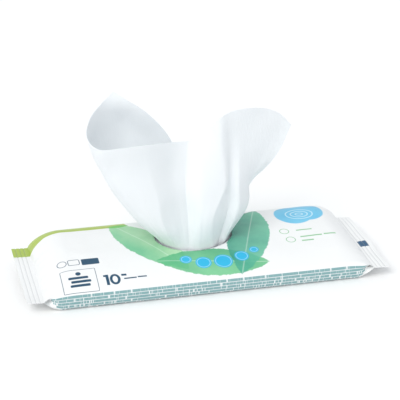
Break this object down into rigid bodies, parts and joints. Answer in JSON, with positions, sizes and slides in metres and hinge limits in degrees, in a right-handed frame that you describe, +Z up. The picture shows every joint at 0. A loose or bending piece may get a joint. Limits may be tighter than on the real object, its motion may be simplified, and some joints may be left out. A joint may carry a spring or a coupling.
{
  "type": "wet wipes pack",
  "caption": "Soft film travel pouch of wet wipes with crimped end seals, an oval opening with its label peeled back, and a wipe pulled up through it.",
  "frame": {"origin": "on the surface that the pouch rests on, under the middle of the pouch's length and width", "axes": "+X along the pouch from the left end seal to the right one, +Y towards its rear long side, +Z up"},
  "size_m": [0.21, 0.0791, 0.1081],
  "materials": {
    "printed_film": "satin white printed film, soft creases",
    "label_film": "thin glossy printed film with a clear glued rim",
    "nonwoven": "moist white nonwoven cloth, matt, slightly see-through"
  },
  "bodies": {
    "root": {"wrapper": "printed_film", "reseal_label": "label_film", "pulled_wipe": "nonwoven", "folded_wipe_1": "nonwoven", "folded_wipe_2": "nonwoven", "folded_wipe_3": "nonwoven", "folded_wipe_4": "nonwoven", "folded_wipe_5": "nonwoven", "folded_wipe_6": "nonwoven", "folded_wipe_7": "nonwoven", "folded_wipe_8": "nonwoven", "folded_wipe_9": "nonwoven"}
  },
  "joints": []
}
